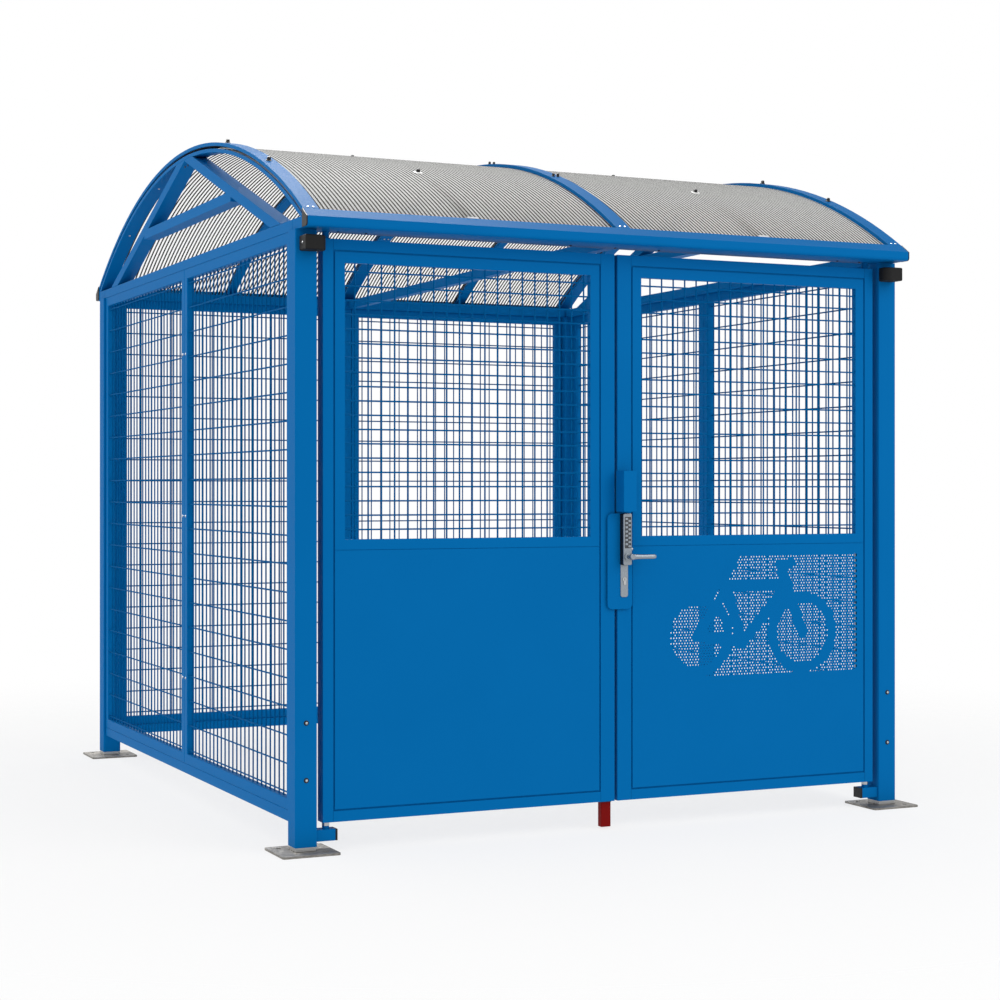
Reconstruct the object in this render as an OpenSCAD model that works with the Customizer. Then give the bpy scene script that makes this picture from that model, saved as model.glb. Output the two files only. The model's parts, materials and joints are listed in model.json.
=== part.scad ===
// Lockable bike shelter: four posts on base plates, mesh walls, double front
// doors and a vaulted roof in two bays. The origin is the centre of the
// footprint at ground level, +Z is up and the doors face -Y. Millimetres.

/* [Shelter] */
// Width over the posts
shelter_w = 2510; // [2000:10:3200]
// Depth over the posts
shelter_d = 2820; // [2300:10:3500]
// Height of the post tops above the ground
post_top = 2154; // [1900:2:2600]
// Rise of the vaulted roof above its eaves
roof_rise = 421; // [320:1:560]

/* [Posts and base plates] */
// Side of a square post
post_w = 80; // [70:1:110]
// Wall of a post
post_wall = 3; // [2:0.5:6]
// Corner radius of a post
post_r = 5; // [3:0.5:8]
// Side of a square base plate
plate_w = 210; // [180:5:300]
// Thickness of a base plate
plate_t = 8; // [6:1:16]
// Anchor hole diameter
anchor_d = 18; // [12:1:24]
// Distance of an anchor hole from the edges of its plate
anchor_edge = 40; // [25:1:45]
// Height of the bare spigot between plate and post
spigot_show = 15; // [5:1:40]
// Length of the spigot inside the post
spigot_in = 150; // [80:5:300]

/* [Top frame] */
// Height of the side and eave beams
beam_h = 40; // [30:1:60]
// Width of the side beams, main arches, trusses and cover strips
beam_w = 60; // [50:1:80]
// Set back of walls, beams and arches from the posts' outer faces
inset = 10; // [5:1:20]
// Reach of the eave nose in front of the posts
eave_nose = 100; // [60:1:120]
// Reach of the eave's flat top in front of the posts
eave_flat = 52; // [20:1:60]
// Reach of an eave beam behind the posts' outer faces
eave_back = 60; // [56:1:75]
// Height of the eave's top edge above the beam
eave_lip = 26; // [20:1:45]
// Thickness of an eave end cap
cap_t = 4; // [2:0.5:8]

/* [Roof] */
// Radial depth of an arch tube
arch_h = 15; // [10:1:40]
// Width of the lighter arch in the middle of each bay
bay_arch_w = 42; // [30:1:60]
// Thickness of the roof sheets
sheet_t = 10; // [6:1:16]
// Thickness of the cover strips
strip_t = 14; // [4:1:20]
// Height of the truss tubes and width of the middle tie
truss_bar = 40; // [30:1:50]
// Distance of a rafter's foot from the posts' outer faces
rafter_foot = 187; // [150:1:260]
// Height of the collar tie's top above the beams
collar_up = 196; // [150:1:230]

/* [Walls] */
// Visible width of the wall panels' frame tubes
panel_bar = 40; // [30:1:50]
// Depth of the wall panels' frame tubes
panel_t = 30; // [20:1:40]
// Gap between a wall panel and what it stands beside
panel_gap = 2; // [0.5:0.5:5]
// Height of the underside of the bottom rails
rail_z = 99; // [60:1:160]
// Side of the square bottom rails
rail_h = 40; // [30:1:50]
// Pitch of the upright wires in the walls and of all the wires in the doors
wire_pitch = 50; // [40:1:60]
// Pitch of the level wires in the walls
wire_step = 100; // [80:1:150]
// Share of the walls' upright wires that is modelled: one in this many
upright_share = 2; // [1, 2, 3]
// Thickness of a wire
wire_d = 4; // [3:0.5:6]

/* [Doors] */
// Gap between a leaf and its post
door_side_gap = 24; // [22:1:32]
// Gap between the two leaves
door_mid_gap = 12; // [8:1:20]
// Height of the underside of the doors
door_z = 102; // [80:1:160]
// Gap between the doors and the eave beam
door_top_gap = 26; // [20:1:60]
// Set back of the leaves from the posts' outer faces
door_back = 8; // [4:1:12]
// Depth of a leaf
leaf_t = 54; // [44:1:56]
// Visible width of a leaf's hinge stile and rails
leaf_bar = 38; // [34:1:46]
// Visible width of a leaf's meeting stile
meeting_bar = 58; // [54:1:70]
// Width of the groove round the infill
groove = 6; // [4:1:10]
// Visible width of the window frame
window_bar = 37; // [30:1:50]
// Height of the seam under the window
seam_z = 1046; // [900:1:1200]
// Width of that seam
seam_w = 2; // [1:0.5:4]
// Distance from a window's lower edge to its first level wire
wire_up = 34; // [10:1:50]
// Depth of the folded infill
infill_t = 25; // [18:1:30]
// Thickness of the door sheets
sheet_wall = 2; // [1.5:0.5:4]

/* [Hinges and stops] */
// Diameter of the pivot pins
pivot_d = 16; // [12:1:20]
// Length of a pivot pin inside a leaf
pivot_in = 30; // [20:1:36]
// Radial clearance round a pivot pin
pivot_clear = 0.05; // [0.02:0.01:0.1]
// Diameter of the collars under and over the leaves
pivot_collar_d = 25; // [20:1:30]
// Gap between a collar and a leaf
pivot_gap = 0.3; // [0.2:0.1:1]
// Size of the bottom brackets: length, depth and height
bracket_size = [71, 50, 40];
// Height of the underside of the bottom brackets
bracket_z = 38; // [20:1:60]
// Thickness of a bracket's end cap
bracket_cap = 8; // [4:1:12]
// Height of the rubber door stops
stop_h = 52; // [40:1:70]
// Reach of the rubber door stops in front of the posts
stop_d = 68; // [60:1:72]
// Distance of a stop's flat end from the post's outer side
stop_edge = 14; // [8:1:20]
// Reach of a stop's round end past the post's inner side
stop_past = 16; // [8:1:17]
// Height of the stops' underside below the door tops
stop_down = 50; // [40:1:80]

/* [Lock] */
// Cover plate: reach over the left leaf
cover_lap = 35; // [20:1:45]
// Cover plate: reach over the right leaf from its edge
cover_in = 57; // [52:1:60]
// Cover plate thickness
cover_t = 5; // [3:1:6]
// Clearance between the cover plate and the left leaf
cover_gap = 6; // [5:0.5:8]
// Height of the cover plate's underside
cover_z = 813; // [700:1:900]
// Length of the cover plate
cover_h = 355; // [300:1:400]
// Size of the code lock: width, depth and height
lock_size = [35, 28, 191];
// Distance of the code lock's side from the leaf's edge
lock_edge = 5; // [3:1:8]
// Height of the lever's axis
lever_z = 1008; // [900:1:1100]
// Lever length from its axis
lever_l = 106; // [80:1:130]
// Lever: depth and height of the grip
lever_grip = [12, 22];
// Gap between the lever's grip and the lock
lever_gap = 20; // [10:1:40]
// Lever spindle diameter
spindle_d = 16; // [12:1:20]
// Pull handle: width, reach and height
pull_size = [54, 63, 152];
// Pull handle: sheet thickness
pull_wall = 4; // [2:0.5:5]
// Gap between the cover plate and the pull handle
pull_up = 6; // [2:1:20]

/* [Drop bolt] */
// Drop bolt: width, depth and length
bolt_size = [40, 28, 250];
// Height of the lowered bolt's end above the ground
bolt_z = 6; // [4:1:20]
// Travel of the bolt
bolt_travel = 80; // [60:1:100]
// Clearance round the bolt in its stile
bolt_clear = 0.4; // [0.2:0.1:1]

/* [Hidden] */
$fn = 48;

// Overlap that lets a cut run past a face
cut = 1;
half_w = shelter_w / 2;
half_d = shelter_d / 2;
beam_top = post_top + beam_h;
post_x = half_w - post_w / 2;
post_y = half_d - post_w / 2;
post_z = plate_t + spigot_show;

// The roof is a circular vault that passes through the eaves' top edges
eave_z = beam_top + eave_lip;
eave_y = half_d + eave_flat;
roof_r = (eave_y * eave_y + roof_rise * roof_rise) / (2 * roof_rise);
roof_z = eave_z + roof_rise - roof_r;
crest_z = eave_z + roof_rise;
strip_r = roof_r - strip_t;
sheet_r = strip_r - sheet_t;
arch_r = sheet_r - arch_h;
frame_x = half_w - inset;
arch_x = frame_x - beam_w;
arch_mid = frame_x - beam_w / 2;
// Small gap that keeps curved faces from sharing a surface
skin = 0.2;
bay_gap = 6;

// Rafters rise from their feet towards the crest of the roof
rafter_y = half_d - rafter_foot;
rafter_angle = atan((crest_z - beam_top) / rafter_y);

// Wall panels
panel_z = rail_z + rail_h;
panel_h = post_top - panel_z;
side_run = shelter_d - 2 * post_w;
back_run = shelter_w - 2 * post_w;
side_panel = (side_run - 3 * panel_gap) / 2;
back_panel = (back_run - 3 * panel_gap) / 2;
wire_depth = inset + panel_t / 2;

// Doors: the pivot is in the middle of the hinge stile
leaf_w = (shelter_w - 2 * post_w - 2 * door_side_gap - door_mid_gap) / 2;
leaf_x = half_w - post_w - door_side_gap;
leaf_top = post_top - door_top_gap;
leaf_y = -half_d + door_back;
pivot_x = leaf_x - leaf_bar / 2;
pivot_y = leaf_y + leaf_t / 2;
infill_x = leaf_x - leaf_bar - groove;
infill_w = leaf_w - leaf_bar - meeting_bar - 2 * groove;
infill_z = door_z + leaf_bar + groove;
infill_top = leaf_top - leaf_bar - groove;
window_x = infill_x - window_bar;
window_w = infill_w - 2 * window_bar;
window_z = seam_z + window_bar;
window_top = infill_top - window_bar;
window_h = window_top - window_z;
meeting_x = leaf_x - leaf_w;
bolt_x = meeting_x + meeting_bar / 2;

// Lock parts stand on the right leaf, whose meeting edge is at x = meeting_x
cover_y = leaf_y - cover_gap - cover_t;
lever_x = meeting_x + lock_edge + lock_size[0] / 2;
lever_y = cover_y - lock_size[1] - lever_gap;

blue = [0.02, 0.38, 0.63];
zinc = [0.62, 0.63, 0.63];
black = [0.08, 0.08, 0.08];
silver = [0.75, 0.76, 0.77];
red = [0.5, 0.1, 0.1];
clear_grey = [0.8, 0.82, 0.84, 0.6];

// A box from one corner to the other
module box(a, b) {
    translate(a)
        cube(b - a);
}

// A square with round corners, centred
module round_square(w, r) {
    square([w, w - 2 * r], center = true);
    square([w - 2 * r, w], center = true);
    for (x = [-1, 1], y = [-1, 1])
        translate([x * (w / 2 - r), y * (w / 2 - r)])
            circle(r);
}

// Base plate with two anchor holes on a diagonal and a hollow spigot
module base_plate(sx, sy) {
    reach = plate_w / 2 - anchor_edge;
    spigot_w = post_w - 2 * post_wall;
    color(zinc)
        translate([sx * post_x, sy * post_y, 0])
            union() {
                linear_extrude(plate_t)
                    difference() {
                        round_square(plate_w, 2 * post_r);
                        for (s = [-1, 1])
                            translate([-s * reach, s * reach])
                                circle(d = anchor_d);
                    }
                translate([0, 0, plate_t])
                    linear_extrude(spigot_show + spigot_in)
                        difference() {
                            square(spigot_w, center = true);
                            square(spigot_w - 2 * post_wall, center = true);
                        }
            }
}

// Post: a square tube that stands on its spigot's sleeve
module post(sx, sy) {
    color(blue)
        translate([sx * post_x, sy * post_y, post_z])
            linear_extrude(post_top - post_z)
                difference() {
                    round_square(post_w, post_r);
                    square(post_w - 2 * post_wall, center = true);
                }
}

// Side beam on the posts, between the eave beams
module side_beam(s) {
    reach = half_d - eave_back;
    color(blue)
        scale([s, 1, 1])
            box([arch_x, -reach, post_top], [frame_x, reach, beam_top]);
}

// Section of an eave beam: X is the reach outwards from the posts' faces
module eave_section() {
    nose_r = 12;
    nose_top = beam_top - nose_r / 2;
    polygon([
        [-eave_back, post_top],
        [eave_nose - nose_r, post_top],
        [eave_nose, post_top + nose_r],
        [eave_nose, nose_top],
        [eave_flat, eave_z],
        [eave_flat, beam_top],
        [-eave_back, beam_top]
    ]);
    intersection() {
        translate([eave_nose - nose_r, post_top + nose_r])
            circle(nose_r);
        translate([eave_nose - nose_r, post_top])
            square(nose_r);
    }
}

// Eave beam along the front or the back
module eave_beam(s) {
    color(blue)
        scale([1, s, 1])
            translate([-frame_x, half_d, 0])
                rotate([90, 0, 90])
                    linear_extrude(2 * frame_x)
                        eave_section();
}

// End caps of the eave beams and of the bottom pivot brackets
module end_caps() {
    color(black) {
        for (sx = [-1, 1], sy = [-1, 1])
            scale([sx, sy, 1])
                translate([frame_x, half_d, 0])
                    rotate([90, 0, 90])
                        linear_extrude(cap_t)
                            intersection() {
                                eave_section();
                                translate([eave_flat - 2, post_top])
                                    square([eave_nose, eave_z]);
                            }
        for (s = [-1, 1])
            scale([s, 1, 1])
                translate([half_w - post_w - bracket_size[0] - bracket_cap, 0, 0])
                    box([0, pivot_y - bracket_size[1] / 2, bracket_z],
                        [bracket_cap, pivot_y + bracket_size[1] / 2, bracket_z + bracket_size[2]]);
    }
}

// Bottom rails of the three walls, between the posts
module bottom_rails() {
    side_reach = half_d - post_w;
    back_reach = half_w - post_w;
    wall_x = half_w - inset;
    wall_y = half_d - inset;
    color(blue) {
        for (s = [-1, 1])
            scale([s, 1, 1])
                box([wall_x - rail_h, -side_reach, rail_z], [wall_x, side_reach, panel_z]);
        box([-back_reach, wall_y - rail_h, rail_z], [back_reach, wall_y, panel_z]);
    }
}

// Frame of one wall panel, flat in the XY plane
module panel_frame(length) {
    difference() {
        square([length, panel_h]);
        translate([panel_bar, panel_bar])
            square([length - 2 * panel_bar, panel_h - 2 * panel_bar]);
    }
}

// A pair of panels, flat, centred on a run that two posts bound
module panel_pair(length) {
    for (s = [-1, 1])
        translate([s * (length + panel_gap) / 2 - length / 2, panel_z])
            panel_frame(length);
}

// Wires of one panel, flat, filling its frame: all the level wires and one
// upright in every upright_share
module panel_wires(length) {
    open_w = length - 2 * panel_bar;
    open_h = panel_h - 2 * panel_bar;
    wires_flat(open_w, open_h, wire_pitch * upright_share, wire_step,
               edge(open_w, wire_pitch), edge(open_h, wire_step));
}

// Distance from a frame to the first wire when the wires are centred
function edge(open, pitch) = (open - floor((open - pitch / 4) / pitch) * pitch) / 2;

// Number of wires that start at a distance and keep clear of the far side
function wires(open, pitch, first) = floor((open - first - wire_d) / pitch) + 1;

// A grid of crossing wires, flat, in one plane
module wires_flat(open_w, open_h, pitch_x, pitch_y, first_x, first_y) {
    for (i = [0 : wires(open_w, pitch_x, first_x) - 1])
        translate([first_x + i * pitch_x - wire_d / 2, 0])
            square([wire_d, open_h]);
    for (i = [0 : wires(open_h, pitch_y, first_y) - 1])
        translate([0, first_y + i * pitch_y - wire_d / 2])
            square([open_w, wire_d]);
}

// Stands a flat shape up in a side wall, the outer face at the inset
module in_side_wall(s, depth, thick) {
    scale([s, 1, 1])
        translate([half_w - depth - thick, 0, 0])
            rotate([90, 0, 90])
                linear_extrude(thick)
                    children();
}

// Stands a flat shape up in the back wall
module in_back_wall(depth, thick) {
    translate([0, half_d - depth, 0])
        rotate([90, 0, 0])
            linear_extrude(thick)
                children();
}

module wall_frames_side(s) {
    color(blue)
        in_side_wall(s, inset, panel_t)
            panel_pair(side_panel);
}

module wall_frames_back() {
    color(blue)
        in_back_wall(inset, panel_t)
            panel_pair(back_panel);
}

// Corner of a panel's opening, at the low end or the high end of a wall
function panel_start(length, end) =
    end * (length + panel_gap) / 2 - length / 2 + panel_bar;

module wall_mesh_side(s, end) {
    color(blue)
        in_side_wall(s, wire_depth - wire_d / 2, wire_d)
            translate([panel_start(side_panel, end), panel_z + panel_bar])
                panel_wires(side_panel);
}

module wall_mesh_back(end) {
    color(blue)
        in_back_wall(wire_depth - wire_d / 2, wire_d)
            translate([panel_start(back_panel, end), panel_z + panel_bar])
                panel_wires(back_panel);
}

// A ring sector of the vault, flat, between the eaves and above a level
module vault_flat(r_in, r_out, low) {
    intersection() {
        difference() {
            translate([0, roof_z])
                circle(r_out, $fn = 360);
            translate([0, roof_z])
                circle(r_in, $fn = 360);
        }
        translate([-eave_y, low])
            square([2 * eave_y, roof_r]);
    }
}

// Extrudes a flat vault shape along X from one place to another
module along_x(x0, x1) {
    translate([x0, 0, 0])
        rotate([90, 0, 90])
            linear_extrude(x1 - x0)
                children();
}

// Arch tube of a given width under the sheets
module arch(x, w) {
    color(blue)
        along_x(x - w / 2, x + w / 2)
            vault_flat(arch_r, sheet_r, beam_top);
}

// Cover strips over the arches, which clamp the sheets
module arch_cover_strips() {
    color(blue)
        for (s = [-1, 0, 1])
            along_x(s * arch_mid - beam_w / 2, s * arch_mid + beam_w / 2)
                vault_flat(strip_r, roof_r, eave_z - strip_t - sheet_t);
}

// Roof sheet of one bay, from the end arch to the middle one
module roof_sheet(s) {
    color(clear_grey)
        scale([s, 1, 1])
            along_x(bay_gap / 2, frame_x - bay_gap)
                vault_flat(sheet_r + skin, strip_r - skin, beam_top);
}

// One rafter, flat, from its foot on the beams
module rafter_flat(s) {
    scale([s, 1])
        translate([-rafter_y, beam_top])
            rotate(rafter_angle)
                translate([-truss_bar, -truss_bar])
                    square([half_d, truss_bar]);
}

// A-frame under an arch, flat: two rafters and a collar tie
module truss_flat() {
    collar_z = beam_top + collar_up;
    collar_y = rafter_y - (collar_up + truss_bar / 2) / tan(rafter_angle);
    intersection() {
        union() {
            difference() {
                rafter_flat(1);
                translate([skin, 0])
                    square([half_d, 2 * crest_z]);
            }
            difference() {
                rafter_flat(-1);
                translate([-half_d - skin, 0])
                    square([half_d, 2 * crest_z]);
            }
            translate([-collar_y, collar_z - truss_bar])
                square([2 * collar_y, truss_bar]);
        }
        translate([0, roof_z])
            circle(arch_r - skin, $fn = 360);
        translate([-half_d, beam_top])
            square([shelter_d, roof_r]);
    }
}

module truss(x) {
    color(blue)
        along_x(x - beam_w / 2, x + beam_w / 2)
            truss_flat();
}

// Tie between the eave beams under the middle arch
module tie_middle() {
    reach = half_d - eave_back;
    color(blue)
        box([-truss_bar / 2, -reach, post_top], [truss_bar / 2, reach, beam_top]);
}

// Bottom brackets with their pins, and the top pins under the eave beam
module door_pivots() {
    color(blue)
        for (s = [-1, 1])
            scale([s, 1, 1]) {
                box([half_w - post_w - bracket_size[0], pivot_y - bracket_size[1] / 2, bracket_z],
                    [half_w - post_w, pivot_y + bracket_size[1] / 2, bracket_z + bracket_size[2]]);
                translate([pivot_x, pivot_y, bracket_z + bracket_size[2]]) {
                    cylinder(h = door_z - pivot_gap - bracket_z - bracket_size[2], d = pivot_collar_d);
                    cylinder(h = door_z + pivot_in - bracket_z - bracket_size[2], d = pivot_d);
                }
                translate([pivot_x, pivot_y, leaf_top + pivot_gap])
                    cylinder(h = post_top - leaf_top - pivot_gap, d = pivot_collar_d);
                translate([pivot_x, pivot_y, leaf_top - pivot_in])
                    cylinder(h = post_top - leaf_top + pivot_in, d = pivot_d);
            }
}

// Rubber stops on the front posts, with a half-round inner end
module door_stops() {
    stop_r = stop_d / 2;
    straight = post_w - stop_edge + stop_past - stop_r;
    color(black)
        for (s = [-1, 1])
            scale([s, 1, 1])
                translate([half_w - stop_edge, -half_d, leaf_top - stop_down]) {
                    translate([-straight, -stop_d, 0])
                        cube([straight, stop_d, stop_h]);
                    translate([-straight, -stop_r, 0])
                        cylinder(h = stop_h, r = stop_r);
                }
}

// Frame of a leaf with the bores for its pivots; s is 1 for the right leaf
module leaf_frame(s) {
    color(blue)
        scale([s, 1, 1])
            difference() {
                box([leaf_x - leaf_w, leaf_y, door_z], [leaf_x, leaf_y + leaf_t, leaf_top]);
                box([leaf_x - leaf_w + meeting_bar, leaf_y - cut, door_z + leaf_bar],
                    [leaf_x - leaf_bar, leaf_y + leaf_t + cut, leaf_top - leaf_bar]);
                translate([pivot_x, pivot_y, door_z - cut])
                    cylinder(h = pivot_in + 2 * cut, r = pivot_d / 2 + pivot_clear);
                translate([pivot_x, pivot_y, leaf_top - pivot_in - cut])
                    cylinder(h = pivot_in + 2 * cut, r = pivot_d / 2 + pivot_clear);
            }
}

// The left leaf's meeting stile is open below for the drop bolt
module door_left_frame() {
    pocket_top = bolt_z + bolt_size[2] + bolt_travel + 10;
    difference() {
        leaf_frame(-1);
        box([-bolt_x - bolt_size[0] / 2 - bolt_clear, pivot_y - bolt_size[1] / 2 - bolt_clear, 0],
            [-bolt_x + bolt_size[0] / 2 + bolt_clear, pivot_y + bolt_size[1] / 2 + bolt_clear, pocket_top]);
    }
}

// Folded infill: a window frame over a plain sheet, both turned back at the
// edges, on a flange that reaches the leaf's frame behind the groove
module door_infill(s) {
    low = [infill_x - infill_w, leaf_y, infill_z];
    high = [infill_x, leaf_y + infill_t, infill_top];
    color(blue)
        scale([s, 1, 1])
            difference() {
                union() {
                    box(low, high);
                    box([low[0] - groove, high[1] - sheet_wall, low[2] - groove],
                        [high[0] + groove, high[1], high[2] + groove]);
                }
                box([window_x - window_w, leaf_y - cut, window_z],
                    [window_x, high[1] + cut, window_top]);
                box([low[0] + sheet_wall, leaf_y + sheet_wall, low[2] + sheet_wall],
                    [high[0] - sheet_wall, high[1] + cut, seam_z - window_bar]);
                box([low[0] - cut, leaf_y - cut, seam_z - seam_w / 2],
                    [high[0] + cut, leaf_y + sheet_wall / 2, seam_z + seam_w / 2]);
            }
}

// Wires of a door's window; first is the distance to the first wire
module door_mesh(s, first) {
    color(blue)
        scale([s, 1, 1])
            translate([window_x - window_w, leaf_y + infill_t / 2 + wire_d / 2, window_z])
                rotate([90, 0, 0])
                    linear_extrude(wire_d)
                        wires_flat(window_w, window_h, wire_pitch, wire_pitch, first, wire_up);
}

// Cover plate for the lock, which laps over the left leaf
module cover_plate() {
    color(blue)
        union() {
            box([meeting_x - door_mid_gap - cover_lap, cover_y, cover_z],
                [meeting_x + cover_in, cover_y + cover_t, cover_z + cover_h]);
            box([meeting_x + lock_edge, cover_y + cover_t, cover_z + lock_edge],
                [meeting_x + cover_in - lock_edge, leaf_y, cover_z + cover_h - lock_edge]);
        }
}

// Pull handle: a folded channel that is open to the right
module pull_handle() {
    x0 = meeting_x - cover_gap - 1;
    y0 = leaf_y - pull_size[1];
    z0 = cover_z + cover_h + pull_up;
    color(blue)
        difference() {
            box([x0, y0, z0], [x0 + pull_size[0], leaf_y, z0 + pull_size[2]]);
            box([x0 + pull_wall, y0 + pull_wall, z0 - cut],
                [x0 + pull_size[0] + cut, leaf_y - pull_wall, z0 + pull_size[2] + cut]);
        }
}

// Code lock body with its lower plate
module code_lock() {
    x0 = meeting_x + lock_edge;
    low_plate_t = 4;
    color(silver)
        difference() {
            union() {
                box([x0, cover_y - lock_size[1], cover_z + cover_h - lock_size[2]],
                    [x0 + lock_size[0], cover_y, cover_z + cover_h]);
                box([x0, cover_y - low_plate_t, cover_z + cover_h / 8],
                    [x0 + lock_size[0], cover_y, cover_z + cover_h - lock_size[2]]);
            }
            translate([lever_x, cover_y - lock_size[1] / 2, lever_z])
                rotate([90, 0, 0])
                    cylinder(h = lock_size[1], r = spindle_d / 2 + pivot_clear);
        }
}

// Lever: a spindle in the lock, a neck and a flat grip
module lock_lever() {
    grip_y = lever_y - lever_grip[0];
    color(silver)
        union() {
            translate([lever_x, cover_y - lock_size[1] / 2, lever_z])
                rotate([90, 0, 0])
                    cylinder(h = lock_size[1] / 2 + lever_gap, d = spindle_d);
            translate([lever_x, lever_y, lever_z])
                rotate([90, 0, 0])
                    cylinder(h = lever_grip[0], d = lever_grip[1]);
            box([lever_x, grip_y, lever_z - lever_grip[1] / 2],
                [lever_x + lever_l, lever_y, lever_z + lever_grip[1] / 2]);
        }
}

// Drop bolt in the left leaf's meeting stile, shown lowered
module drop_bolt() {
    color(red)
        box([-bolt_x - bolt_size[0] / 2, pivot_y - bolt_size[1] / 2, bolt_z],
            [-bolt_x + bolt_size[0] / 2, pivot_y + bolt_size[1] / 2, bolt_z + bolt_size[2]]);
}

base_plate(-1, -1);  // base_plate_front_left
base_plate(1, -1);  // base_plate_front_right
base_plate(-1, 1);  // base_plate_back_left
base_plate(1, 1);  // base_plate_back_right
post(-1, -1);  // post_front_left
post(1, -1);  // post_front_right
post(-1, 1);  // post_back_left
post(1, 1);  // post_back_right
side_beam(-1);  // side_beam_left
side_beam(1);  // side_beam_right
eave_beam(-1);  // eave_beam_front
eave_beam(1);  // eave_beam_back
end_caps();
bottom_rails();
wall_frames_side(-1);  // wall_frames_left
wall_frames_side(1);  // wall_frames_right
wall_frames_back();
wall_mesh_side(-1, -1);  // wall_mesh_left_front
wall_mesh_side(-1, 1);  // wall_mesh_left_rear
wall_mesh_side(1, -1);  // wall_mesh_right_front
wall_mesh_side(1, 1);  // wall_mesh_right_rear
wall_mesh_back(-1);  // wall_mesh_back_left
wall_mesh_back(1);  // wall_mesh_back_right
arch(-arch_mid, beam_w);  // arch_left
arch(-arch_mid / 2, bay_arch_w);  // arch_bay_left
arch(0, beam_w);  // arch_middle
arch(arch_mid / 2, bay_arch_w);  // arch_bay_right
arch(arch_mid, beam_w);  // arch_right
arch_cover_strips();
truss(-arch_mid);  // truss_left
truss(arch_mid);  // truss_right
tie_middle();
roof_sheet(-1);  // roof_sheet_left
roof_sheet(1);  // roof_sheet_right
door_pivots();
door_stops();
door_left_frame();
door_infill(-1);  // door_left_infill
door_mesh(-1, window_w - 18 * wire_pitch - 41);  // door_left_mesh
leaf_frame(1);  // door_right_frame
door_infill(1);  // door_right_infill
door_mesh(1, 44);  // door_right_mesh
cover_plate();
pull_handle();
code_lock();
lock_lever();
drop_bolt();
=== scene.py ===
# Bike shelter: finishes, round wires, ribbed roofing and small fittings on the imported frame
import bpy
import bmesh
import json
import math
import numpy as np
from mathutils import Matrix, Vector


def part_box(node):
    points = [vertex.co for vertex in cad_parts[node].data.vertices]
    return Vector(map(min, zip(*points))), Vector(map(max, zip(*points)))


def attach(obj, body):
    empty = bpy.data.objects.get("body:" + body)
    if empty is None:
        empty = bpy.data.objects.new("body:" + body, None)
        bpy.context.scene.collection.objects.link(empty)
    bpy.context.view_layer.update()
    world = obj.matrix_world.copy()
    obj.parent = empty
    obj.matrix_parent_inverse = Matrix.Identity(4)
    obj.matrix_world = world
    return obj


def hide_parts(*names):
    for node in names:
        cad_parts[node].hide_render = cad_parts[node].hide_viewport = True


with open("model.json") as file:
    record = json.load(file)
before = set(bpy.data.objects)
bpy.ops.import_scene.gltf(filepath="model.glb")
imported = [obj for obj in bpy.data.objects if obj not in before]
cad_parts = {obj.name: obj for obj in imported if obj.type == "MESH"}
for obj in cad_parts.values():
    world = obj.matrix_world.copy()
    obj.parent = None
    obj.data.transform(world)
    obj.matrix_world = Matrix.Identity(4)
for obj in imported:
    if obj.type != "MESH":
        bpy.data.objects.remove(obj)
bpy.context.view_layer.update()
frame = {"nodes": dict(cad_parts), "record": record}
mm = 0.001
print("frame loaded:", len(frame["nodes"]), "nodes")


# shapes: a shape is (corner points, [face tables]), each table for one number of corners

def joinShapes(*shapes):
    # stacks the corner points and shifts every face table by the corners before it
    points = [shape[0] for shape in shapes]
    starts = np.cumsum([0] + [len(p) for p in points])
    return np.vstack(points), [table + start for shape, start in zip(shapes, starts) for table in shape[1]]


def repeatShape(shape, offsets):
    # the same shape moved by each offset: every corner plus every offset
    points, tables = shape
    offsets = np.atleast_2d(np.asarray(offsets, float))
    moved = (points[None] + offsets[:, None]).reshape(-1, 3)
    steps = (np.arange(len(offsets)) * len(points))[:, None, None]
    return moved, [(table[None] + steps).reshape(-1, table.shape[1]) for table in tables]


def gridShape(surface, uValues, vValues, closed=False):
    # points surface(u, v) over a grid of both parameters, joined by quads
    # closed ties the last u to the first
    u, v = np.meshgrid(uValues, vValues, indexing="ij")
    points = np.stack(np.broadcast_arrays(*surface(u, v)), -1).reshape(-1, 3)
    ids = np.arange(u.size).reshape(u.shape)
    if closed:
        ids = np.vstack([ids, ids[:1]])
    quads = np.stack([ids[:-1, :-1], ids[1:, :-1], ids[1:, 1:], ids[:-1, 1:]], -1).reshape(-1, 4)
    return points, [quads]


def ringShape(rings):
    # rings x sides x 3 corners: each ring is joined to the next by quads, with a flat cap on both ends
    sides = rings.shape[1]
    ids = np.arange(rings.shape[0] * sides).reshape(-1, sides)
    wrap = np.hstack([ids, ids[:, :1]])
    quads = np.stack([wrap[:-1, :-1], wrap[:-1, 1:], wrap[1:, 1:], wrap[1:, :-1]], -1).reshape(-1, 4)
    return rings.reshape(-1, 3), [quads, ids[:1, ::-1], ids[-1:]]


def axesOf(direction):
    # two unit vectors across a direction, so that first x second = direction
    w = np.asarray(direction, float) / np.linalg.norm(direction)
    helper = np.array([0, 0, 1.0]) if abs(w[2]) < 0.9 else np.array([1.0, 0, 0])
    first = np.cross(helper, w)
    first /= np.linalg.norm(first)
    return first, np.cross(w, first), w


def turnedShape(profile, base, direction, sides=16):
    # rings base + height * w + radius * (cos a * e1 + sin a * e2), one per (radius, height) pair in mm
    e1, e2, w = axesOf(direction)
    radius, height = np.array(profile, float).T * mm
    angle = np.arange(sides) * 2 * np.pi / sides
    around = np.cos(angle)[:, None] * e1 + np.sin(angle)[:, None] * e2
    return ringShape(np.asarray(base) + height[:, None, None] * w + radius[:, None, None] * around[None])


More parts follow.
